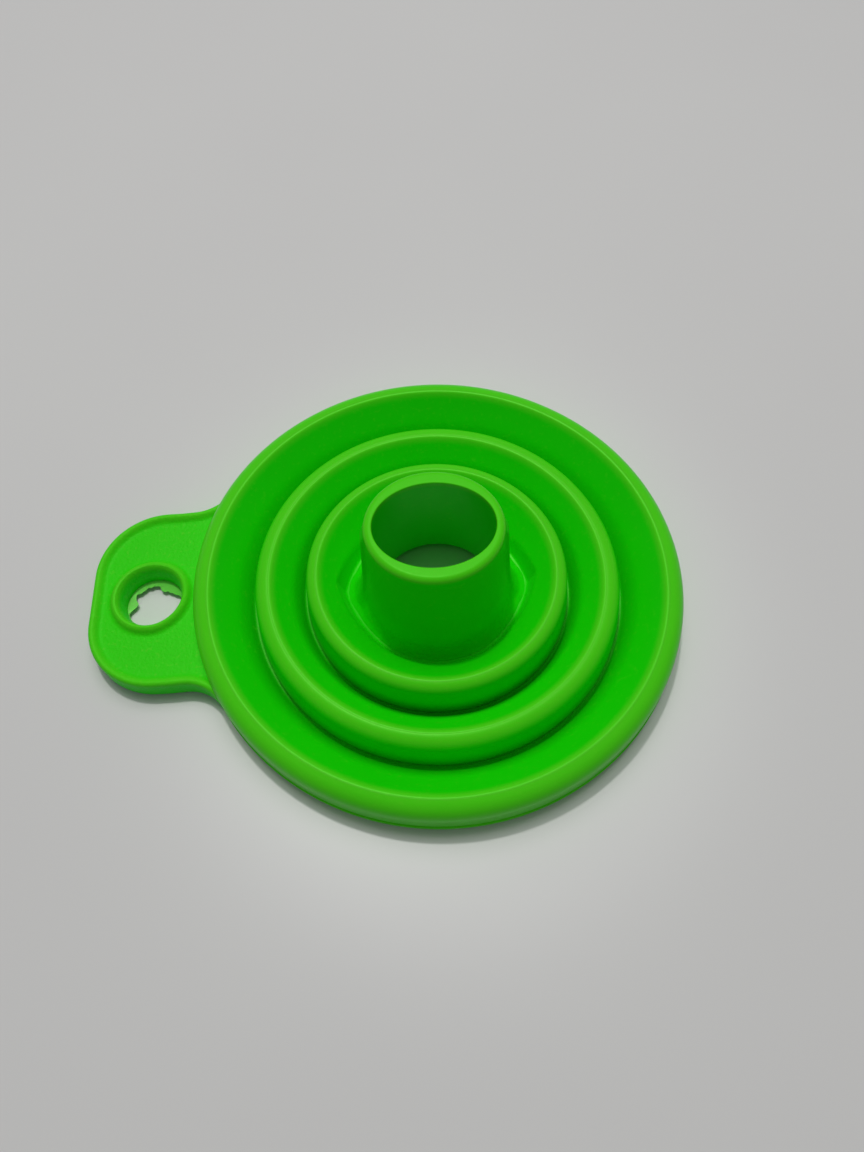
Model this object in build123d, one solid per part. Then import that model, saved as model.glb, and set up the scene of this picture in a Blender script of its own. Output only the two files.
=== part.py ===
from build123d import *
from math import atan2, cos, pi, sin, sqrt
import os

# A collapsible silicone funnel, folded flat, standing on its mouth with the spout up.
# Units are millimetres. The origin is the middle of the mouth's resting face, +Z runs
# up through the spout, and the hanging tab points along -X.
# The moulding is one piece of silicone. It is modelled as its stiff rings, joined by
# three thin fold webs that turn inside out when the funnel is pulled open.

# Driving dimensions ---------------------------------------------------------------
MOUTH_RADIUS = 40.0        # outermost surface of the mouth rim
FLOOR_CLEARANCE = 0.4      # everything inside the rim stays this far off the table
WEB_THICKNESS = 0.9        # fold webs, measured square to their surface
HINGE_THICKNESS = 0.9      # foot of a web, where it meets the next ring
HINGE_GAP = 0.05           # slit left between a fold web and the rings that it joins

RIM_HEIGHT, RIM_CREST_RADIUS, RIM_INNER_RADIUS = 7.6, 37.2, 36.3
RIM_SHOULDER = 2.0         # inside, the rim's wall is straight from here down to its web
LIP_HEIGHT = 1.5           # mouth lip, under the parting groove
LIP_DRAFT = 0.2            # the lip's outer wall leans in by this much at its foot
LIP_INNER_ROUND, LIP_FOOT_ROUND, LIP_TOP_ROUND = 0.3, 0.4, 0.2
GROOVE_DEPTH = 0.4

MIDDLE_HEIGHT, MIDDLE_CREST_RADIUS, MIDDLE_INNER_RADIUS = 7.1, 27.6, 26.5
MIDDLE_OUTER_RADIUS = 29.5
INNER_HEIGHT, INNER_CREST_RADIUS, INNER_INNER_RADIUS = 8.1, 19.5, 18.7
INNER_OUTER_RADIUS = 21.0
RING_SPREAD = 0.9          # a ring's outer wall leans out by this much at its foot
RING_WALL = 2.4            # ring wall at its foot
RING_FOOT_ROUND = 0.3
CREST_STEP = 0.6           # a web starts this far below the crest that it hangs from
KNEE_REACH = 1.9           # a web's knee stands this far out from the end of its foot
KNEE_STAGGER = 0.4         # the knee underneath sits this far back up the slope
KNEE_TO_HEEL, KNEE_TO_TOE = 0.6, 1.1   # how far the wall below the knee leans in, by face
KNEE_ROUND, HEEL_ROUND = 0.6, 0.5

SPOUT_TIP_HEIGHT = 21.5
SPOUT_TIP = (10.6, 9.7)    # half-widths of the oval tip, along X and Y
SPOUT_FOOT_RADIUS = 11.7   # the spout is round again at its foot
SPOUT_BORE_TIP = (9.3, 7.3)
SPOUT_BORE_FOOT = (9.3, 8.3)
SPOUT_FLANGE_RADIUS = 13.1
SPOUT_FLANGE_TOP = 2.1
SPOUT_FLANGE_BOTTOM = 1.1
SPOUT_MOUTH_ROUND, SPOUT_FOOT_ROUND, SPOUT_LIP_ROUND = 0.6, 1.2, 0.8

RIB_WIDTH = 3.0            # vent ribs, one on each side of the spout
RIB_PROUD = 0.5
RIB_TOP = 20.3
RIB_TOP_ROUND = 0.4
RIB_KNEE_HEIGHT = 4.0      # below this a rib spreads out over the flange
RIB_KNEE_ROUND = 2.0
RIB_FOOT_INSET = 0.3       # a rib stops this far inside the flange's edge

TAB_END = 57.0             # far end of the hanging tab, from the funnel's axis
TAB_HALF_WIDTH = 16.0
TAB_CORNER_RADIUS = 11.5
TAB_NECK_RADIUS = 7.0      # concave corner between the tab's side and the rim
TAB_BOTTOM, TAB_FLOOR, TAB_TOP = 0.4, 3.6, 4.4
TAB_BEAD_WIDTH = 1.2
HOLE_CENTRE = 47.3         # hanging hole, from the funnel's axis
HOLE_RADIUS = 4.7
HOLE_MOUTH_RADIUS = 5.4
COLLAR_RADIUS = 6.6
COLLAR_TOP = 4.7
COLLAR_TAPER = 2.2         # the collar's mouth narrows to the hole over this height
COLLAR_OUTER_ROUND, COLLAR_INNER_ROUND = 0.5, 0.4

THROUGH = 100.0            # length of a cutter that passes right through everything


def turned(points, radii):
    """A solid of revolution about Z from (radius, height) points with rounded corners."""
    outline = make_face(FilletPolyline(*points, radius=radii, close=True))
    return revolve(Plane.XZ * outline, Axis.Z)


def rim_ring():
    """The stiff bead round the mouth, above the parting groove."""
    crown = MOUTH_RADIUS - RIM_CREST_RADIUS
    lean_in = RIM_CREST_RADIUS - RIM_INNER_RADIUS
    points = [(RIM_INNER_RADIUS + lean_in, LIP_HEIGHT), (MOUTH_RADIUS - GROOVE_DEPTH, LIP_HEIGHT),
              (MOUTH_RADIUS, LIP_HEIGHT + GROOVE_DEPTH), (MOUTH_RADIUS, RIM_HEIGHT),
              (RIM_INNER_RADIUS, RIM_HEIGHT), (RIM_INNER_RADIUS, RIM_HEIGHT - RIM_SHOULDER)]
    return turned(points, [0, 0, 0, crown, lean_in, 0])


def mouth_lip():
    """The thin lip that the funnel stands on, under the parting groove."""
    lean_in = RIM_CREST_RADIUS - RIM_INNER_RADIUS
    points = [(RIM_INNER_RADIUS + lean_in, 0), (MOUTH_RADIUS - LIP_DRAFT, 0),
              (MOUTH_RADIUS, LIP_HEIGHT - GROOVE_DEPTH),
              (MOUTH_RADIUS - GROOVE_DEPTH, LIP_HEIGHT),
              (RIM_INNER_RADIUS + lean_in, LIP_HEIGHT)]
    return turned(points, [LIP_INNER_ROUND, LIP_FOOT_ROUND, LIP_TOP_ROUND, 0, 0])


def stiff_ring(height, crest, inner, outer):
    """A ring between two webs: a leaning wall with a thick rounded top."""
    foot = outer + RING_SPREAD
    web_root = height - CREST_STEP - WEB_THICKNESS * sqrt(2)
    points = [(foot - RING_WALL, FLOOR_CLEARANCE), (foot, FLOOR_CLEARANCE), (outer, height),
              (inner, height), (inner, web_root)]
    return turned(points, [RING_FOOT_ROUND, RING_FOOT_ROUND, outer - crest, crest - inner,
                           RING_FOOT_ROUND])


def fold_web(outer, crest_height, inner, foot_bottom, foot_top):
    """A web folded down inside the ring that it hangs from, as far as its foot."""
    start, end = outer - HINGE_GAP, inner + HINGE_GAP
    top = crest_height - CREST_STEP
    drop = WEB_THICKNESS * sqrt(2)
    knee = end + KNEE_REACH
    knee_top = top - (start - knee)
    under_knee = (knee + KNEE_STAGGER, knee_top - drop + KNEE_STAGGER)
    points = [(start, top), (start, top - drop), under_knee,
              (knee - KNEE_TO_HEEL, foot_bottom), (end, foot_bottom), (end, foot_top),
              (knee - KNEE_TO_TOE, foot_top), (knee, knee_top)]
    return turned(points, [0, 0, KNEE_ROUND, HEEL_ROUND, 0, 0, HEEL_ROUND, KNEE_ROUND])


def outer_fold_web():
    foot_top = FLOOR_CLEARANCE + HINGE_THICKNESS
    return fold_web(RIM_INNER_RADIUS, RIM_HEIGHT, MIDDLE_OUTER_RADIUS + RING_SPREAD,
                    FLOOR_CLEARANCE, foot_top)


def middle_fold_web():
    foot_top = FLOOR_CLEARANCE + HINGE_THICKNESS
    return fold_web(MIDDLE_INNER_RADIUS, MIDDLE_HEIGHT, INNER_OUTER_RADIUS + RING_SPREAD,
                    FLOOR_CLEARANCE, foot_top)


def inner_fold_web():
    return fold_web(INNER_INNER_RADIUS, INNER_HEIGHT, SPOUT_FLANGE_RADIUS,
                    SPOUT_FLANGE_BOTTOM, SPOUT_FLANGE_TOP)


def oval_taper(foot, foot_height, tip, tip_height):
    """A solid that tapers from one oval to another; each oval is its two half-widths."""
    ovals = [Pos(0, 0, foot_height) * Ellipse(*foot), Pos(0, 0, tip_height) * Ellipse(*tip)]
    return loft(ovals, ruled=True)


def spout_blank():
    """The spout before it is bored: a drafted oval column on a round flange."""
    foot = (SPOUT_FOOT_RADIUS, SPOUT_FOOT_RADIUS)
    column = oval_taper(foot, SPOUT_FLANGE_TOP, SPOUT_TIP, SPOUT_TIP_HEIGHT)
    lip = column.edges().sort_by(Axis.Z)[-1]
    flange_height = SPOUT_FLANGE_TOP - SPOUT_FLANGE_BOTTOM
    flange_middle = (SPOUT_FLANGE_TOP + SPOUT_FLANGE_BOTTOM) / 2
    flange = Pos(0, 0, flange_middle) * Cylinder(SPOUT_FLANGE_RADIUS, flange_height)
    return fillet(lip, SPOUT_LIP_ROUND) + flange


def spout_tube():
    """The spout with its oval bore, a little wider at the foot."""
    bore = oval_taper(SPOUT_BORE_FOOT, SPOUT_FLANGE_BOTTOM, SPOUT_BORE_TIP, SPOUT_TIP_HEIGHT)
    tube = spout_blank() - bore
    foot_line = tube.edges().filter_by_position(Axis.Z, SPOUT_FLANGE_TOP, SPOUT_FLANGE_TOP)
    tube = fillet(foot_line.sort_by(SortBy.LENGTH)[0], SPOUT_FOOT_ROUND)
    mouth = tube.edges().filter_by_position(Axis.Z, SPOUT_FLANGE_BOTTOM, SPOUT_FLANGE_BOTTOM)
    return fillet(mouth.sort_by(SortBy.LENGTH)[0], SPOUT_MOUTH_ROUND)


def vent_rib(side):
    """A low rib up the spout, on side +1 or -1 of X, that lets air out of a bottle neck."""
    foot = SPOUT_FLANGE_RADIUS - RIB_FOOT_INSET
    knee = SPOUT_FOOT_RADIUS + RIB_PROUD
    top = SPOUT_TIP[0] + RIB_PROUD
    root = SPOUT_BORE_TIP[0]
    points = [(root, SPOUT_FLANGE_TOP), (foot, SPOUT_FLANGE_TOP), (knee, RIB_KNEE_HEIGHT),
              (top, RIB_TOP), (root, RIB_TOP)]
    outline = make_face(FilletPolyline(*points, radius=[0, 0, RIB_KNEE_ROUND, RIB_TOP_ROUND, 0],
                                       close=True))
    bar = extrude(Plane.XZ * outline, RIB_WIDTH / 2, both=True)
    rib = bar - spout_blank() - spout_tube()
    return rib if side > 0 else mirror(rib, Plane.YZ)


def tab_outline(inset):
    """Outline of the hanging tab, inset by a distance, on the XY plane."""
    end, half = TAB_END - inset, TAB_HALF_WIDTH - inset
    corner, neck = TAB_CORNER_RADIUS - inset, TAB_NECK_RADIUS + inset
    rim = MOUTH_RADIUS - inset
    neck_y = half + neck
    neck_x = sqrt((rim + neck) ** 2 - neck_y ** 2)
    meet_x, meet_y = neck_x * rim / (rim + neck), neck_y * rim / (rim + neck)
    neck_turn = (atan2(-neck_y, -neck_x) - pi / 2) / 2
    neck_middle = (neck_x + neck * cos(neck_turn), neck_y + neck * sin(neck_turn))
    corner_middle = (end - corner + corner * cos(pi / 4), half - corner + corner * sin(pi / 4))
    inside = rim - 2 * neck
    side = [Line((inside, 0), (end, 0)),
            Line((end, 0), (end, half - corner)),
            ThreePointArc((end, half - corner), corner_middle, (end - corner, half)),
            Line((end - corner, half), (neck_x, half)),
            ThreePointArc((neck_x, half), neck_middle, (meet_x, meet_y)),
            Line((meet_x, meet_y), (inside, 0))]
    far_half = mirror(make_face(Curve() + side), Plane.YZ)
    return far_half + mirror(far_half, Plane.XZ)


def hang_tab():
    """The tab: a plate with a raised bead round its edge, cut to fit the rim."""
    plate = extrude(Pos(0, 0, TAB_BOTTOM) * tab_outline(0), TAB_TOP - TAB_BOTTOM)
    recess = extrude(Pos(0, 0, TAB_FLOOR) * tab_outline(TAB_BEAD_WIDTH), TAB_TOP)
    hole = Pos(-HOLE_CENTRE, 0, 0) * Cylinder(COLLAR_RADIUS, THROUGH)
    return plate - recess - hole - Cylinder(MOUTH_RADIUS, THROUGH)


def hang_collar():
    """The raised collar that lines the hanging hole, wider at its mouth."""
    points = [(HOLE_RADIUS, TAB_BOTTOM), (COLLAR_RADIUS, TAB_BOTTOM), (COLLAR_RADIUS, COLLAR_TOP),
              (HOLE_MOUTH_RADIUS, COLLAR_TOP), (HOLE_RADIUS, COLLAR_TOP - COLLAR_TAPER)]
    collar = turned(points, [0, 0, COLLAR_OUTER_ROUND, COLLAR_INNER_ROUND, 0])
    return Pos(-HOLE_CENTRE, 0, 0) * collar


def main():
    parts = {
        "rim_ring": rim_ring(),
        "mouth_lip": mouth_lip(),
        "hang_tab": hang_tab(),
        "hang_collar": hang_collar(),
        "outer_fold_web": outer_fold_web(),
        "middle_ring": stiff_ring(MIDDLE_HEIGHT, MIDDLE_CREST_RADIUS, MIDDLE_INNER_RADIUS,
                                  MIDDLE_OUTER_RADIUS),
        "middle_fold_web": middle_fold_web(),
        "inner_ring": stiff_ring(INNER_HEIGHT, INNER_CREST_RADIUS, INNER_INNER_RADIUS,
                                 INNER_OUTER_RADIUS),
        "inner_fold_web": inner_fold_web(),
        "spout_tube": spout_tube(),
        "vent_rib_left": vent_rib(-1),
        "vent_rib_right": vent_rib(1),
    }
    os.makedirs("parts", exist_ok=True)
    for name, solid in parts.items():
        export_step(solid, f"parts/{name}.step")


main()
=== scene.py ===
# %% [markdown]
# # A folding silicone funnel
# This lesson dresses a finished CAD model of a small collapsible funnel. The real thing is
# one moulding of soft silicone rubber: stiff rings joined by thin webs that fold inside out.
# The CAD model is loaded first as a fixed frame, so that every surface made here already
# knows its place, its size and the body that it moves with.

# %% Load the frame
import math
import bmesh
import bpy
import numpy as np
from mathutils import Matrix, Vector


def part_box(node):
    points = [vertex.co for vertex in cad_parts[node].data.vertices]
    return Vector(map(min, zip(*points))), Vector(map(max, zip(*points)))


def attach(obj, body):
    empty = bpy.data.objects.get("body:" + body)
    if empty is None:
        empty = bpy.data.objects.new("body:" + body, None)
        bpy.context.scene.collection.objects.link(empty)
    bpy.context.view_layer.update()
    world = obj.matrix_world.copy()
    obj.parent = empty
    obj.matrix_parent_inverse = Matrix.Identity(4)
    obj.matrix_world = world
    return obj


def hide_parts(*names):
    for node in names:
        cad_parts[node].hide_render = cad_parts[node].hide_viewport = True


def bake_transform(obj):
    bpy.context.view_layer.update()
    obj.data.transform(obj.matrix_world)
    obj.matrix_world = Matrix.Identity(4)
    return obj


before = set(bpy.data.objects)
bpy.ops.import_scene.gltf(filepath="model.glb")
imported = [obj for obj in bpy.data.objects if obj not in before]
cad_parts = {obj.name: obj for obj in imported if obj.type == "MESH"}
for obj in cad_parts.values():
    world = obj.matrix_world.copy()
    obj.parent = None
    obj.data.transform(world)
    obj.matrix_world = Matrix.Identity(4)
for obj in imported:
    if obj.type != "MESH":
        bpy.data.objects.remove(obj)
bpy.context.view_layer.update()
MM = 0.001

# %% [markdown]
# ## Sizes
# A moulding is drawn as sections: the shape that a knife would show. Outer sizes are read
# from the frame, so a change in the CAD model carries through. What the frame can't tell,
# such as where a crest peaks, is a named value in millimetres.

# %% Read the sizes of the rings, the spout and the tab
def reach(node):
    """Largest radius and height of a round CAD node, and its lowest point, in mm."""
    low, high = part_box(node)
    return high[0] / MM, high[2] / MM, low[2] / MM


RIM_R, RIM_TOP, _ = reach("rim_ring")
MIDDLE_R, MIDDLE_TOP, RING_FOOT = reach("middle_ring")
INNER_R, INNER_TOP, _ = reach("inner_ring")
_, SPOUT_TOP, SPOUT_FOOT = reach("spout_tube")
TAB_END = -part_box("hang_tab")[0][0] / MM
# The radius at which each ring's crest peaks.
RIM_CREST, MIDDLE_CREST, INNER_CREST = 37.2, 27.6, 19.5
# Half widths of the spout's ovals, along X and along Y.
TIP_OVAL, BORE_TIP_OVAL, BORE_FOOT_OVAL = (10.6, 9.7), (9.3, 7.3), (9.3, 8.3)
print("outer radii in mm:", RIM_R, MIDDLE_R, INNER_R, "crest heights:", RIM_TOP, MIDDLE_TOP, INNER_TOP)

# %% [markdown]
# ## Camera
# The funnel is seen from above and in front, from about 15 cm. A wide lens this close gives
# the strong taper between the near side and the far side.

# %% Set the camera
DISTANCE, ELEVATION, AZIMUTH = 146.7 * MM, math.radians(62.2), math.radians(-0.85)
ROLL, LENS_MM = math.radians(-3.2), 27.5
CENTRE = Vector((0, 0, 2.5 * MM))
AIM = CENTRE + Vector((-0.7, 1.2, 0.6)) * MM


def aim_camera(place, target, roll, lens):
    data = bpy.data.cameras.new("camera")
    data.lens = lens
    data.clip_start = 0.01
    camera = bpy.data.objects.new("camera", data)
    bpy.context.scene.collection.objects.link(camera)
    look = (target - place).to_track_quat("-Z", "Y").to_matrix().to_4x4()
    camera.matrix_world = Matrix.Translation(place) @ look @ Matrix.Rotation(roll, 4, "Z")
    bpy.context.scene.camera = camera


towards_camera = Vector((math.sin(AZIMUTH) * math.cos(ELEVATION), -math.cos(AZIMUTH) * math.cos(ELEVATION),
                         math.sin(ELEVATION)))
aim_camera(CENTRE + towards_camera * DISTANCE, AIM, ROLL, LENS_MM)
print("camera at", [round(c / MM, 1) for c in bpy.context.scene.camera.location], "mm")

# %% [markdown]
# ## Light
# A small lamp puts a fine bright line on each crest. A wide pale ceiling behind it fills the
# slopes, and stands far enough back that the spout's bore and the deep folds go dark. The room
# adds a little from all sides.

# %% Set the lights and the room
ROOM_STRENGTH = 0.2


def soft_panel(name, place, size, power, colour):
    """A round area light, in metres and watts, turned to the funnel."""
    data = bpy.data.lights.new(name, "AREA")
    data.shape = "DISK"
    data.size = size
    data.energy = power
    data.color = colour
    panel = bpy.data.objects.new(name, data)
    bpy.context.scene.collection.objects.link(panel)
    panel.location = place
    panel.rotation_euler = (CENTRE - Vector(place)).to_track_quat("-Z", "Y").to_euler()


soft_panel("ceiling_lamp", (-0.06, 0.32, 0.95), 0.06, 2.5, (1.0, 0.99, 0.97))
soft_panel("pale_ceiling", (0.03, 0.6, 1.42), 1.1, 6.6, (1.0, 0.99, 0.99))
world = bpy.data.worlds.new("room")
world.use_nodes = True
world.node_tree.nodes["Background"].inputs["Color"].default_value = (0.9, 0.92, 0.92, 1)
world.node_tree.nodes["Background"].inputs["Strength"].default_value = ROOM_STRENGTH
bpy.context.scene.world = world
bpy.context.scene.view_settings.view_transform = "Standard"
print("lights:", [light.name for light in bpy.data.lights])

# %% [markdown]
# ## Materials
# Such a funnel is usually food-grade silicone rubber, compression moulded in a steel mould.
# Silicone is faintly translucent, so light soaks in and thin edges glow. It shows a fine satin
# grain, as a ground mould leaves, and a coarser one on the tab, as spark erosion would leave.
# The crests are painted paler than the folds by height, as painted light where the tops catch the lamps.

# %% Small helpers for colours and shader nodes
def linear(code, alpha=1.0):
    """A colour for a shader socket from an sRGB hex code such as '#20B40C'."""
    channels = [int(code[i:i + 2], 16) / 255 for i in (1, 3, 5)]
    return [c / 12.92 if c <= 0.04045 else ((c + 0.055) / 1.055) ** 2.4 for c in channels] + [alpha]


def add(tree, kind, settings=None, **links):
    """Adds a shader node. Settings are attributes or input values, and links feed its inputs."""
    node = tree.nodes.new(kind)
    for name, value in (settings or {}).items():
        if name in node.inputs:
            node.inputs[name].default_value = value
        else:
            setattr(node, name, value)
    for name, source in links.items():
        tree.links.new(source, node.inputs[name.replace("_", " ")])
    return node


def mix(tree, share, low, high):
    """Mixes two colours. Each is an sRGB hex code or the output of another node."""
    node = add(tree, "ShaderNodeMix", {"data_type": "RGBA"}, Factor=share)
    for socket, colour in ((node.inputs[6], low), (node.inputs[7], high)):
        if isinstance(colour, str):
            socket.default_value = linear(colour)
        else:
            tree.links.new(colour, socket)
    return node.outputs[2]


# %% Moulded silicone
CLOUD_MM, SPECK_MM = 18, 0.7
# Of these, the paler crest colour is painted light on lit crests, and the fold colour is painted shade.
DEEP_PALER, PAINTED_LIGHT_PALER, DUST, FOLD = "#1AE806", "#58E81E", "#68EA2C", "#0A9E04"
FOLD_LOW_MM, FOLD_HIGH_MM = 0.6, 3.6


def silicone_colour(tree, place, painted_light_from, painted_light_to, deep, crest, dust, fold_depth):
    """Even green, painted paler between two heights in mm as painted light, painted darker in the folds as
    painted shade, and flecked with dust.
    """
    height = add(tree, "ShaderNodeSeparateXYZ", Vector=place).outputs["Z"]
    # Between the two heights the tone turns paler: painted light on the lit crests and tops.
    paler = add(tree, "ShaderNodeMapRange", {"interpolation_type": "SMOOTHSTEP",
                 "From Min": painted_light_from * MM, "From Max": painted_light_to * MM}, Value=height)
    # Pigment is never quite even, so there are soft clouds in it.
    clouds = add(tree, "ShaderNodeTexNoise", {"Scale": 1 / (CLOUD_MM * MM), "Detail": 2.0}, Vector=place)
    body = mix(tree, clouds.outputs["Fac"], deep, DEEP_PALER)
    top = mix(tree, clouds.outputs["Fac"], crest, PAINTED_LIGHT_PALER)
    # A darker tone low down stands in for the light that is lost in the narrow folds.
    folded = add(tree, "ShaderNodeMapRange", {"From Min": FOLD_LOW_MM * MM, "From Max": FOLD_HIGH_MM * MM,
                 "To Min": fold_depth, "To Max": 0.0}, Value=height)
    toned = mix(tree, folded.outputs["Result"], mix(tree, paler.outputs["Result"], body, top), FOLD)
    specks = add(tree, "ShaderNodeTexNoise", {"Scale": 1 / (SPECK_MM * MM), "Detail": 3.0}, Vector=place)
    dusty = add(tree, "ShaderNodeMapRange", {"From Min": 0.58, "From Max": 0.75, "To Max": dust},
                Value=specks.outputs["Fac"])
    return mix(tree, dusty.outputs["Result"], toned, DUST)


def silicone(name, painted_light_from, painted_light_to, deep="#16E004", crest="#4EE21A", grain_mm=0.45,
             grain_depth_mm=0.01, roughness=0.31, dust=0.2, fold_depth=0.0, gloss=0.5):
    """Lime silicone rubber, pressed and cured in a steel mould that leaves a satin grain."""
    material = bpy.data.materials.new(name)
    material.use_nodes = True
    tree = material.node_tree
    shader = tree.nodes["Principled BSDF"]
    place = add(tree, "ShaderNodeTexCoord").outputs["Object"]
    colour = silicone_colour(tree, place, painted_light_from, painted_light_to, deep, crest, dust, fold_depth)
    tree.links.new(colour, shader.inputs["Base Color"])
    grain = add(tree, "ShaderNodeTexNoise", {"Scale": 1 / (grain_mm * MM), "Detail": 2.0}, Vector=place)
    dull = add(tree, "ShaderNodeMapRange",
               {"To Min": roughness - 0.05, "To Max": roughness + 0.07}, Value=grain.outputs["Fac"])
    tree.links.new(dull.outputs["Result"], shader.inputs["Roughness"])
    bump = add(tree, "ShaderNodeBump", {"Strength": 1.0, "Distance": grain_depth_mm * MM},
               Height=grain.outputs["Fac"])
    tree.links.new(bump.outputs["Normal"], shader.inputs["Normal"])
    shader.inputs["IOR"].default_value = 1.41
    shader.inputs["Specular IOR Level"].default_value = gloss
    # Light that comes back from just under the skin tints the highlights green.
    shader.inputs["Specular Tint"].default_value = (0.32, 1.0, 0.18, 1.0)
    shader.inputs["Subsurface Weight"].default_value = 0.25
    shader.inputs["Subsurface Radius"].default_value = (0.25, 1.0, 0.15)
    shader.inputs["Subsurface Scale"].default_value = 0.8 * MM
    return material


# Silicone of the rim: moulded as one bead, with the crests' paler painted-light tone all over it.
rim_silicone = silicone("silicone_mouth_rim", -2, -1)
# Silicone of the two smaller rings: painted light makes them pale only on their crests, and painted shade
# makes the folds beside them a deeper green.
middle_silicone = silicone("silicone_middle_ring", MIDDLE_TOP - 1.5, MIDDLE_TOP - 0.2, fold_depth=0.5)
inner_silicone = silicone("silicone_inner_ring", INNER_TOP - 1.5, INNER_TOP - 0.2, fold_depth=0.5)
# Silicone of the spout: less gloss, because its steep walls would mirror too much of the pale floor. Its lip
# is painted paler, as painted light.
spout_silicone = silicone("silicone_spout", SPOUT_TOP - 1.3, SPOUT_TOP - 0.4, gloss=0.3)
# Silicone of the fold webs: moulded thin in the same shot, painted pale with light only where they join the
# crests. The outer two are painted darker low in the folds, as painted shade.
outer_web_silicone = silicone("silicone_outer_web", RIM_TOP - 1.1, RIM_TOP - 0.1, fold_depth=0.5)
middle_web_silicone = silicone("silicone_middle_web", MIDDLE_TOP - 1.1, MIDDLE_TOP - 0.1, fold_depth=0.5)
inner_web_silicone = silicone("silicone_inner_web", INNER_TOP - 1.1, INNER_TOP - 0.1)
# Silicone flash: rubber that crept between the mould's faces and tore, thin enough to look milky. Its upper
# face is painted a little paler, as painted light.
film_silicone = silicone("silicone_torn_flash", 0.4, 0.9, deep="#86C46E", crest="#98CC84")
# Silicone of the tab: moulded against a coarser face, so it is duller and holds more dust. It is painted
# paler towards its top, as painted light.
tab_silicone = silicone("silicone_sparked_tab", 3.2, 4.4, deep="#28E20C", grain_mm=0.5,
                        grain_depth_mm=0.08, roughness=0.46, dust=0.5)
print("materials:", [m.name for m in bpy.data.materials])

# %% [markdown]
# ## The set
# The floor is plain and pale. A black card overhead, on the camera's side, only takes light away,
# as a person leaning over the funnel would. Neither is part of the funnel.

# %% Set the floor and the shading card
FLOOR_HALF_M = 1.5
CARD_LOW, CARD_HIGH, CARD_HEIGHT_M = (-0.1, -0.36), (0.1, -0.09), 0.42


def flat_card(name, low, high, height, material):
    """A level rectangle in metres, which belongs to the set."""
    mesh = bpy.data.meshes.new(name)
    mesh.from_pydata([(low[0], low[1], height), (high[0], low[1], height), (high[0], high[1], height),
                      (low[0], high[1], height)], [], [(0, 1, 2, 3)])
    mesh.materials.append(material)
    card = bpy.data.objects.new(name, mesh)
    bpy.context.scene.collection.objects.link(card)
    return card


def black_velvet():
    """Woven velvet on a card, which reflects almost nothing."""
    material = bpy.data.materials.new("black_velvet_card")
    material.use_nodes = True
    material.node_tree.nodes["Principled BSDF"].inputs["Base Color"].default_value = linear("#141414")
    material.node_tree.nodes["Principled BSDF"].inputs["Roughness"].default_value = 0.9
    return material


def glazed_tile():
    """Porcelain tile, fired with a slightly shiny glaze that is clouded a little."""
    material = bpy.data.materials.new("glazed_porcelain_tile")
    material.use_nodes = True
    tree = material.node_tree
    shader = tree.nodes["Principled BSDF"]
    place = add(tree, "ShaderNodeTexCoord").outputs["Object"]
    cloud = add(tree, "ShaderNodeTexNoise", {"Scale": 9.0, "Detail": 3.0}, Vector=place)
    tone = add(tree, "ShaderNodeValToRGB", Fac=cloud.outputs["Fac"])
    tone.color_ramp.elements[0].color = linear("#E2E1E1")
    tone.color_ramp.elements[1].color = linear("#E8E8E7")
    tree.links.new(tone.outputs["Color"], shader.inputs["Base Color"])
    shader.inputs["Roughness"].default_value = 0.22
    return material


flat_card("floor", (-FLOOR_HALF_M, -FLOOR_HALF_M), (FLOOR_HALF_M, FLOOR_HALF_M), 0, glazed_tile())
card = flat_card("shading_card", CARD_LOW, CARD_HIGH, CARD_HEIGHT_M, black_velvet())
card.visible_camera = False
card.visible_glossy = False
print("floor", 2 * FLOOR_HALF_M, "m wide, card", CARD_HEIGHT_M, "m up")

# %% [markdown]
# ## Sections
# Each section is a closed loop of corners, and every corner is rounded by cutting it a given
# distance back along both of its sides. The number of points stays the same whatever the
# sizes are, so a section may change shape as it goes round, and its points still join up.

# %% Round the corners of a section
def rounded(corners, like=None, arc_steps=7, spacing=0.35):
    """Points (radius, height) in mm round a loop of corners (radius, height, cut).

    The number of points on each side is that of the section `like`, when one is given.
    """
    like = like or corners
    points = []
    spots = [np.array(c[:2], float) for c in corners]
    count = len(spots)
    for i, corner in enumerate(spots):
        before, after = spots[i - 1] - corner, spots[(i + 1) % count] - corner
        back_way, on_way = before / np.linalg.norm(before), after / np.linalg.norm(after)
        cut = corners[i][2]
        if like[i][2] == 0:
            points.append(corner)
        else:
            # A cubic curve whose handles make it very nearly a circle's arc.
            turn = math.pi - math.acos(max(-1.0, min(1.0, float(back_way @ on_way))))
            pull = 2 / 3 if turn < 0.01 else 4 / 3 * math.tan(turn / 4) / math.tan(turn / 2)
            a, d = corner + back_way * cut, corner + on_way * cut
            b, c = a - back_way * cut * pull, d - on_way * cut * pull
            for t in np.linspace(0, 1, arc_steps):
                s = 1 - t
                points.append(a * s ** 3 + b * 3 * s * s * t + c * 3 * s * t * t + d * t ** 3)
        start = corner + on_way * cut
        end = spots[(i + 1) % count] - on_way * corners[(i + 1) % count][2]
        steps = max(1, round(math.dist(like[i][:2], like[(i + 1) % count][:2]) / spacing))
        points.extend(start + (end - start) * k / steps for k in range(1, steps))
    return np.array(points)


print("a 2 mm square with rounded corners has",
      len(rounded([(0, 0, 0.3), (2, 0, 0.3), (2, 2, 0.3), (0, 2, 0.3)])), "points")

# %% [markdown]
# ## Turning the rings and webs
# The rings and webs follow one rule: a section carried round a circle. Geometry Nodes suit that
# well. The section is an object of edges only, the tree sweeps it along a circle, and named
# inputs hold the circle's radius, the number of steps and how far the soft ring has
# settled out of round.

# %% Build the turning tree
def times(tree, one, other):
    node = add(tree, "ShaderNodeMath", {"operation": "MULTIPLY"})
    tree.links.new(one, node.inputs[0])
    tree.links.new(other, node.inputs[1])
    return node.outputs[0]


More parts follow.
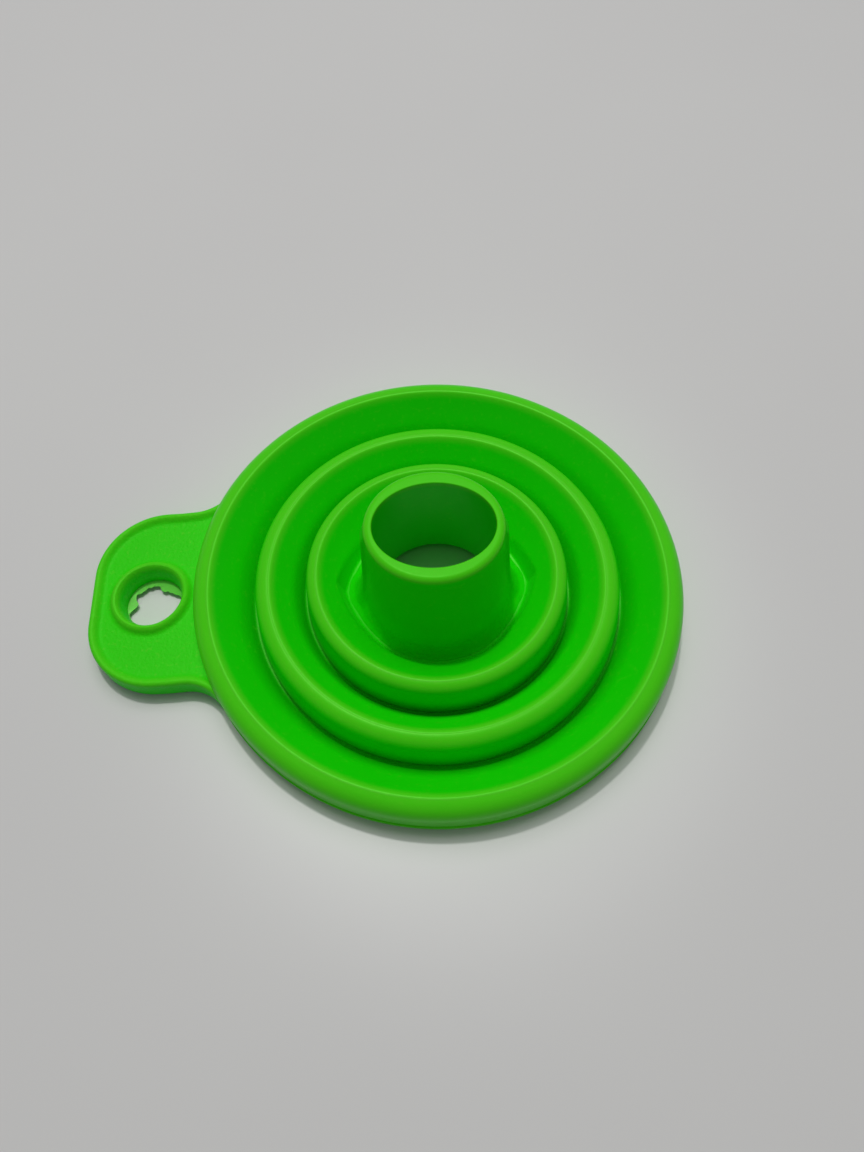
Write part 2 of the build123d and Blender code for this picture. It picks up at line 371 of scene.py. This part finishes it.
def turning_tree():
    tree = bpy.data.node_groups.new("turn_section_round_axis", "GeometryNodeTree")
    tree.interface.new_socket("Geometry", in_out="OUTPUT", socket_type="NodeSocketGeometry")
    for name, kind in (("Section", "NodeSocketGeometry"), ("Centre Radius", "NodeSocketFloat"),
                       ("Steps", "NodeSocketInt"), ("Out of Round", "NodeSocketFloat"),
                       ("Material", "NodeSocketMaterial")):
        tree.interface.new_socket(name, in_out="INPUT", socket_type=kind)
    given = add(tree, "NodeGroupInput").outputs
    section = add(tree, "GeometryNodeMeshToCurve", Mesh=given["Section"])
    circle = add(tree, "GeometryNodeCurvePrimitiveCircle", Radius=given["Centre Radius"],
                 Resolution=given["Steps"])
    swept = add(tree, "GeometryNodeCurveToMesh", Curve=circle.outputs["Curve"],
                Profile_Curve=section.outputs["Curve"])
    place = add(tree, "ShaderNodeSeparateXYZ", Vector=add(tree, "GeometryNodeInputPosition").outputs[0])
    # The pull x' = x + k*y, y' = y + k*x makes an oval that leans 45 degrees.
    pull = add(tree, "ShaderNodeCombineXYZ", X=times(tree, place.outputs["Y"], given["Out of Round"]),
               Y=times(tree, place.outputs["X"], given["Out of Round"]))
    settled = add(tree, "GeometryNodeSetPosition", Geometry=swept.outputs["Mesh"],
                  Offset=pull.outputs["Vector"])
    smooth = add(tree, "GeometryNodeSetShadeSmooth", Geometry=settled.outputs["Geometry"])
    whole = add(tree, "GeometryNodeRealizeInstances", Geometry=smooth.outputs["Geometry"])
    painted = add(tree, "GeometryNodeSetMaterial", Geometry=whole.outputs["Geometry"],
                  Material=given["Material"])
    add(tree, "NodeGroupOutput", Geometry=painted.outputs["Geometry"])
    return tree


TURNING = turning_tree()
SOCKETS = {s.name: s.identifier for s in TURNING.interface.items_tree if s.in_out == "INPUT"}
print("inputs:", list(SOCKETS))

# %% Turn one section into a piece
ROUND_STEPS = 224
OUT_OF_ROUND = -0.006
WELD_M = 1e-6
SHARP_FROM = math.radians(32)


def finish_mesh(mesh):
    """Welds what coincides, turns the faces outwards and keeps hard edges crisp."""
    work = bmesh.new()
    work.from_mesh(mesh)
    bmesh.ops.remove_doubles(work, verts=work.verts, dist=WELD_M)
    bmesh.ops.recalc_face_normals(work, faces=work.faces)
    work.to_mesh(mesh)
    work.free()
    mesh.shade_smooth()
    mesh.set_sharp_from_angle(angle=SHARP_FROM)


def turned(name, corners, material):
    """A ring or web, from the corners (radius, height, cut) of its section in mm."""
    section = rounded(corners)
    centre = float(section[:, 0].mean())
    wire = bpy.data.meshes.new(name + "_section")
    count = len(section)
    wire.from_pydata([((r - centre) * MM, -z * MM, 0) for r, z in section],
                     [(i, (i + 1) % count) for i in range(count)], [])
    piece = bpy.data.objects.new(name, wire)
    bpy.context.scene.collection.objects.link(piece)
    turning = piece.modifiers.new("turning", "NODES")
    turning.node_group = TURNING
    turning[SOCKETS["Centre Radius"]] = centre * MM
    turning[SOCKETS["Steps"]] = ROUND_STEPS
    turning[SOCKETS["Out of Round"]] = OUT_OF_ROUND
    turning[SOCKETS["Material"]] = material
    graph = bpy.context.evaluated_depsgraph_get()
    mesh = bpy.data.meshes.new_from_object(piece.evaluated_get(graph), depsgraph=graph)
    piece.modifiers.remove(turning)
    piece.data = mesh
    bpy.data.meshes.remove(wire)
    finish_mesh(mesh)
    print(name, len(mesh.vertices), "points, box",
          [round(v / MM, 2) for v in np.ptp(np.array([v.co for v in mesh.vertices]), axis=0)])
    return piece


# %% [markdown]
# ## The stiff rings
# The mouth rim is a fat bead with a thin lip below it. The two halves of the mould met
# between them, which left a fine groove all round. The two smaller rings lean outwards towards
# their feet. Inside its crest each ring stays a hair lower than the web that hangs there, so
# that the web's skin is what shows and no seam does.

# %% Mouth rim
rim = turned("mouth_rim_bead", [
    (37.3, 0.0, 0.3), (RIM_R - 0.2, 0.0, 0.4), (RIM_R, 1.45, 0.2), (RIM_R - 0.45, 1.7, 0.1),
    (RIM_R - 0.2, 2.0, 0.15), (RIM_R - 0.1, RIM_TOP, RIM_R - 0.1 - RIM_CREST),
    (36.95, RIM_TOP - 0.06, 0.3), (36.3, RIM_TOP - 0.8, 0.1), (36.3, 5.2, 0.3),
    (37.2, 3.4, 0.8)], rim_silicone)
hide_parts("rim_ring", "mouth_lip")
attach(rim, "rim")

# %% Middle and inner rings
middle_ring = turned("middle_ring_bead", [
    (MIDDLE_R - 2.3, RING_FOOT, 0.3), (MIDDLE_R, RING_FOOT, 0.3), (29.5, MIDDLE_TOP, 29.5 - MIDDLE_CREST),
    (27.2, MIDDLE_TOP - 0.06, 0.3), (26.6, MIDDLE_TOP - 0.8, 0.1), (26.6, 4.8, 0.3)],
    middle_silicone)
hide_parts("middle_ring")
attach(middle_ring, "middle")

inner_ring = turned("inner_ring_bead", [
    (INNER_R - 2.3, RING_FOOT, 0.3), (INNER_R, RING_FOOT, 0.3), (21.0, INNER_TOP, 21.0 - INNER_CREST),
    (19.3, INNER_TOP - 0.06, 0.3), (18.75, INNER_TOP - 0.8, 0.1), (18.75, 5.7, 0.3)],
    inner_silicone)
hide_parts("inner_ring")
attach(inner_ring, "inner")

# %% [markdown]
# ## The fold webs
# A web hangs down inside its ring at about 45 degrees and ends in a narrow valley against the
# wall of the next ring. Opening the funnel turns it inside out, so it is the one kind of piece
# that changes shape. Here each web is made only in its folded shape, and it is attached to no ring.

# %% Outer and middle webs
CREST_OVER = 0.03

outer_web = turned("outer_web_sheet", [
    (37.5, RIM_TOP - 0.12, 0), (36.85, RIM_TOP + CREST_OVER, 0.4), (32.95, 3.5, 0.9),
    (30.85, 0.6, 0.3), (29.7, 0.5, 0), (29.7, 0.2, 0), (31.5, 0.2, 0.4), (33.4, 2.4, 0.7),
    (36.5, 5.25, 0.3), (37.5, 5.6, 0)], outer_web_silicone)
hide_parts("outer_fold_web")
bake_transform(outer_web)

middle_web = turned("middle_web_sheet", [
    (27.7, MIDDLE_TOP - 0.12, 0), (27.1, MIDDLE_TOP + CREST_OVER, 0.4), (23.8, 3.7, 0.8),
    (22.3, 0.6, 0.25), (21.3, 0.5, 0), (21.3, 0.2, 0), (22.8, 0.2, 0.4), (24.3, 2.6, 0.7),
    (26.7, 4.85, 0.3), (27.7, 5.2, 0)], middle_web_silicone)
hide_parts("middle_fold_web")
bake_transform(middle_web)

# %% [markdown]
# ## The spout and its web
# The spout has a vent rib on each side that runs out at its foot into a small gusset, and there
# the web's fold is pushed outwards into a pointed pocket. Neither is round, so these two
# pieces are skinned in mesh code: a section is worked out for every direction, and the
# sections are joined.

# %% Skin loops of points into a closed piece
SKIN_STEPS = 320


def out_of_round(x, y, share=1.0):
    """A place in mm, pulled out of round as the soft moulding has settled."""
    return x + OUT_OF_ROUND * y * share, y + OUT_OF_ROUND * x * share


def skin(name, loops, material):
    """Joins each closed loop of points in mm to the next one, and the last loop to the first."""
    rows, count = len(loops), len(loops[0])
    faces = [(i * count + j, i * count + (j + 1) % count,
              (i + 1) % rows * count + (j + 1) % count, (i + 1) % rows * count + j)
             for i in range(rows) for j in range(count)]
    mesh = bpy.data.meshes.new(name)
    mesh.from_pydata((np.concatenate(loops) * MM).tolist(), [], faces)
    mesh.materials.append(material)
    finish_mesh(mesh)
    piece = bpy.data.objects.new(name, mesh)
    bpy.context.scene.collection.objects.link(piece)
    print(name, len(mesh.vertices), "points")
    return piece


def skin_round(name, section_at, material):
    """Skins section_at(angle), a list of corners, all the way round the Z axis."""
    middle = section_at(math.pi / 2)
    loops = []
    for angle in np.arange(SKIN_STEPS) * 2 * math.pi / SKIN_STEPS:
        section = rounded(section_at(angle), like=middle)
        x, y = out_of_round(section[:, 0] * math.cos(angle), section[:, 0] * math.sin(angle))
        loops.append(np.column_stack([x, y, section[:, 1]]))
    return skin(name, loops, material)


# %% Shape the way round the spout
POCKET_HALF_ANGLE, POCKET_POINT = 0.72, 1.7


def ease(t):
    """A soft step from 0 to 1."""
    t = max(0.0, min(1.0, t))
    return t * t * (3 - 2 * t)


def from_rib(angle):
    """How far a direction is from the nearest rib, in radians."""
    return abs((angle + math.pi / 2) % math.pi - math.pi / 2)


def pocket(angle):
    """1 at a rib, falling to 0 where the fold is round again, with a sharp point."""
    return max(0.0, 1 - from_rib(angle) / POCKET_HALF_ANGLE) ** POCKET_POINT


def between(a, b, share):
    """Corners part of the way from one section to another."""
    return [tuple(p + (q - p) * share for p, q in zip(u, v)) for u, v in zip(a, b)]


print("pocket depth at 0, 20 and 40 degrees:", [round(pocket(math.radians(d)), 2) for d in (0, 20, 40)])

# %% Spout
SPOUT_WALL_R = 11.2
FLANGE_LOW, FLANGE_HIGH = SPOUT_FOOT + 0.02, 1.18
# The foot runs out flat under the web's fold, and further out below a pocket or a gusset.
PLAIN_FOOT = [(13.55, FLANGE_LOW, 0.02), (13.55, FLANGE_HIGH, 0.02), (12.9, 1.75, 0.35), (12.0, 3.1, 0.8)]
POCKET_FOOT = [(15.1, FLANGE_LOW, 0.02), (15.1, FLANGE_HIGH, 0.02), (13.2, 1.5, 0.35), (12.1, 3.0, 0.8)]
GUSSET_FOOT = [(15.1, FLANGE_LOW, 0.02), (15.1, FLANGE_HIGH, 0.02), (13.7, 1.65, 0.4), (12.7, 3.4, 1.1)]
# From this distance off the rib's middle, in mm, the gusset and the rib rise over these widths.
GUSSET_REACH, GUSSET_FADE = 3.4, 2.6
RIB_REACH, RIB_FADE = 1.9, 0.8


def oval(half_widths, angle):
    """Radius of an oval in one direction."""
    a, b = half_widths
    return a * b / math.hypot(b * math.cos(angle), a * math.sin(angle))


def spout_section(angle):
    tip, bore_tip, bore_foot = (oval(o, angle) for o in (TIP_OVAL, BORE_TIP_OVAL, BORE_FOOT_OVAL))
    off_rib = SPOUT_WALL_R * from_rib(angle)
    foot = between(PLAIN_FOOT, POCKET_FOOT, pocket(angle))
    foot = between(foot, GUSSET_FOOT, ease((GUSSET_REACH - off_rib) / GUSSET_FADE))
    plain_wall = [(11.5, 6.5, 1.0), (tip + 0.12, 19.2, 0.3), (tip + 0.06, 20.3, 0.3)]
    rib = [(12.0, 6.5, 1.2), (tip + 0.6, 19.4, 0.3), (tip + 0.1, 20.4, 0.3)]
    wall = between(plain_wall, rib, ease((RIB_REACH - off_rib) / RIB_FADE))
    lip = [(tip, SPOUT_TOP, 0.85), (bore_tip, SPOUT_TOP, 0.2)]
    return [(bore_foot, SPOUT_FOOT, 0.6)] + foot + wall + lip


spout = skin_round("ribbed_spout", spout_section, spout_silicone)
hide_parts("spout_tube", "vent_rib_left", "vent_rib_right")
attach(spout, "spout")

# %% Inner web
ROUND_WEB = [(19.8, INNER_TOP - 0.12, 0), (19.25, INNER_TOP + CREST_OVER, 0.35), (14.85, 3.65, 0.7),
             (13.95, 1.32, 0.3), (12.9, 1.26, 0), (12.9, 1.12, 0), (14.6, 1.12, 0.3), (15.4, 2.6, 0.5),
             (18.9, 5.8, 0.3), (19.8, 6.1, 0)]
POCKET_WEB = [(19.8, INNER_TOP - 0.12, 0), (19.25, INNER_TOP + CREST_OVER, 0.35), (16.4, 5.2, 0.3),
              (15.35, 1.4, 0.3), (14.1, 1.2, 0), (14.1, 1.12, 0), (15.9, 1.12, 0.3), (16.9, 3.4, 0.4),
              (18.9, 5.8, 0.3), (19.8, 6.1, 0)]


def inner_web_section(angle):
    return between(ROUND_WEB, POCKET_WEB, pocket(angle))


inner_web = skin_round("inner_web_sheet", inner_web_section, inner_web_silicone)
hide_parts("inner_fold_web")
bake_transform(inner_web)

# %% [markdown]
# ## The hanging tab
# The tab is a flat tongue with a raised bead along its edge and a collar round the hole. Its
# mesh is a stack of loops. The first loops are circles in the hole and over the collar, the last
# ones follow the tongue's outline over the bead, down the side and back under to the hole.
# Where the tongue meets the funnel, a loop runs inside the rim instead.

# %% Outline of the tab
HALF_WIDTH, CORNER_R, NECK_R = 16.0, 11.5, 7.0
HOLE_X, HOLE_R = -47.3, 4.7
HIDDEN_R, HIDDEN_SPREAD = 38.6, 0.5
CORNER_POINTS, NECK_POINTS, SIDE_POINTS, END_POINTS = 44, 24, 8, 10


def arc(centre, radius, first, last, count):
    """Points of an arc between two directions in degrees, without the last one."""
    angles = np.radians(np.linspace(first, last, count, endpoint=False))
    return [(centre[0] + radius * math.cos(a), centre[1] + radius * math.sin(a)) for a in angles]


def tab_loop(inset):
    """Points round the tongue, set in from its edge, and how much each belongs to the rim side."""
    end, half = -TAB_END + inset, HALF_WIDTH - inset
    corner, neck = CORNER_R - inset, NECK_R + inset
    neck_y = half + neck
    neck_x = -math.sqrt((RIM_R - inset + neck) ** 2 - neck_y ** 2)
    away = math.hypot(neck_x, neck_y)
    # Beside the rim the loop runs along a circle that is hidden in the rim.
    hidden_r = HIDDEN_R + HIDDEN_SPREAD * inset
    bend = math.acos(min(1.0, (away ** 2 + neck ** 2 - hidden_r ** 2) / (2 * away * neck)))
    first = math.degrees(math.atan2(-neck_y, -neck_x) - bend)
    upper = arc((neck_x, neck_y), neck, first, -90, NECK_POINTS)
    upper += [(x, half) for x in np.linspace(neck_x, end + corner, SIDE_POINTS, endpoint=False)]
    upper += arc((end + corner, half - corner), corner, 90, 180, CORNER_POINTS)
    upper += [(end, y) for y in np.linspace(half - corner, 0, END_POINTS, endpoint=False)]
    points = upper + [(end, 0.0)] + [(x, -y) for x, y in upper[::-1]]
    last = math.atan2(points[0][1], points[0][0])
    turns = np.linspace(2 * math.pi - last, last, CORNER_POINTS)[1:-1]
    hidden = [(hidden_r * math.cos(a), hidden_r * math.sin(a)) for a in turns]
    share = [min(1.0, min(k + 1, len(turns) - k) / 4) for k in range(len(turns))]
    return np.array(points + hidden), np.array([0.0] * len(points) + share)


edge, _ = tab_loop(0)
print("outline of", len(edge), "points, from x", edge[:, 0].min(), "to", edge[:, 0].max())

# %% Skin the tab
# Radius and height, up the hole's wall, over the collar's round top and down to the tab's floor.
COLLAR = [(5.0, 0.4), (4.78, 0.46), (HOLE_R, 0.7), (HOLE_R, 1.4), (HOLE_R, 2.1), (4.78, 2.7), (4.98, 3.4),
          (5.2, 4.0), (5.38, 4.4), (5.62, 4.64), (5.9, 4.7), (6.15, 4.6), (6.4, 4.3), (6.55, 4.0),
          (6.75, 3.75), (7.05, 3.62), (7.3, 3.6)]
# Inset from the edge, height, and height beside the rim: over the bead, down the side and under.
BEAD = [(2.2, 3.6, 3.6), (1.85, 3.63, 3.63), (1.6, 3.73, 3.72), (1.4, 3.9, 3.85), (1.2, 4.1, 3.9),
        (1.0, 4.27, 3.8), (0.8, 4.37, 3.85), (0.6, 4.4, 3.9), (0.4, 4.36, 3.95), (0.2, 4.22, 4.0),
        (0.07, 4.0, 4.0), (0.0, 3.7, 3.7), (0.0, 2.2, 2.2), (0.0, 0.9, 0.9), (0.08, 0.6, 0.6),
        (0.3, 0.42, 0.42), (0.6, 0.4, 0.4)]
FLOOR_STEPS, UNDER_STEPS = 9, 4
SETTLES_TO, SETTLES_OVER = 46, 5


def fill(start, end, steps):
    """The loops that lie between two loops."""
    return [start + (end - start) * (k / steps) for k in range(1, steps)]


def tab_loops():
    around = np.unwrap(np.arctan2(edge[:, 1], edge[:, 0] - HOLE_X))
    around = np.maximum.accumulate(around + np.arange(len(edge)) * 1e-4)
    circle = np.stack([np.cos(around), np.sin(around)], 1)
    collar = [np.column_stack([circle * r + (HOLE_X, 0), np.full(len(edge), z)]) for r, z in COLLAR]
    bead = []
    for inset, height, rim_height in BEAD:
        flat, share = tab_loop(inset)
        bead.append(np.column_stack([flat, height + (rim_height - height) * share]))
    return (collar + fill(collar[-1], bead[0], FLOOR_STEPS) + bead
            + fill(bead[-1], collar[0], UNDER_STEPS))


def settle(loop):
    """Near the rim the tab follows the soft rim out of round."""
    x, y = loop[:, 0], loop[:, 1]
    near = np.clip((SETTLES_TO - np.hypot(x, y)) / SETTLES_OVER, 0, 1)
    return np.column_stack([*out_of_round(x, y, near), loop[:, 2]])


tab = skin("tab_tongue", [settle(loop) for loop in tab_loops()], tab_silicone)
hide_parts("hang_tab", "hang_collar")
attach(tab, "rim")

# %% [markdown]
# ## Flash in the hole
# A torn film of flash is left round the hole's bottom edge, mostly at the back. It is thin, so
# it looks paler than the rest.

# %% Torn film of flash
FILM_STEPS = 260
# Distance from the hole's wall, with in as positive, and height: root, top, and the same below.
FILM_ROOT, FILM_SHOULDER = -0.2, 0.05


def torn_width(angle):
    """How far the film reaches in from the hole's wall, in mm: lumps, and nicks along them."""
    lumps = 0.42 * math.sin(2.6 * angle - 1.2) + 0.25 * math.sin(6.1 * angle + 0.9)
    nicks = 0.12 * math.sin(11.3 * angle) + 0.06 * math.sin(23.0 * angle + 2.0)
    at_back = ease((math.sin(angle - math.radians(15)) + 0.12) / 0.45)
    return 0.1 + at_back * max(0.2, 1.2 + lumps + nicks)


def film_loop(angle):
    """The film's thin section in one direction from the middle of the hole."""
    reach_in = torn_width(angle)
    section = [(FILM_ROOT, 1.0), (FILM_SHOULDER, 0.98), (reach_in, 0.88), (reach_in, 0.78),
               (FILM_SHOULDER, 0.72), (FILM_ROOT, 0.7)]
    return np.array([(HOLE_X + (HOLE_R - inwards) * math.cos(angle), (HOLE_R - inwards) * math.sin(angle), z)
                     for inwards, z in section])


flash = skin("hole_flash", [film_loop(2 * math.pi * i / FILM_STEPS) for i in range(FILM_STEPS)],
             film_silicone)
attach(flash, "rim")
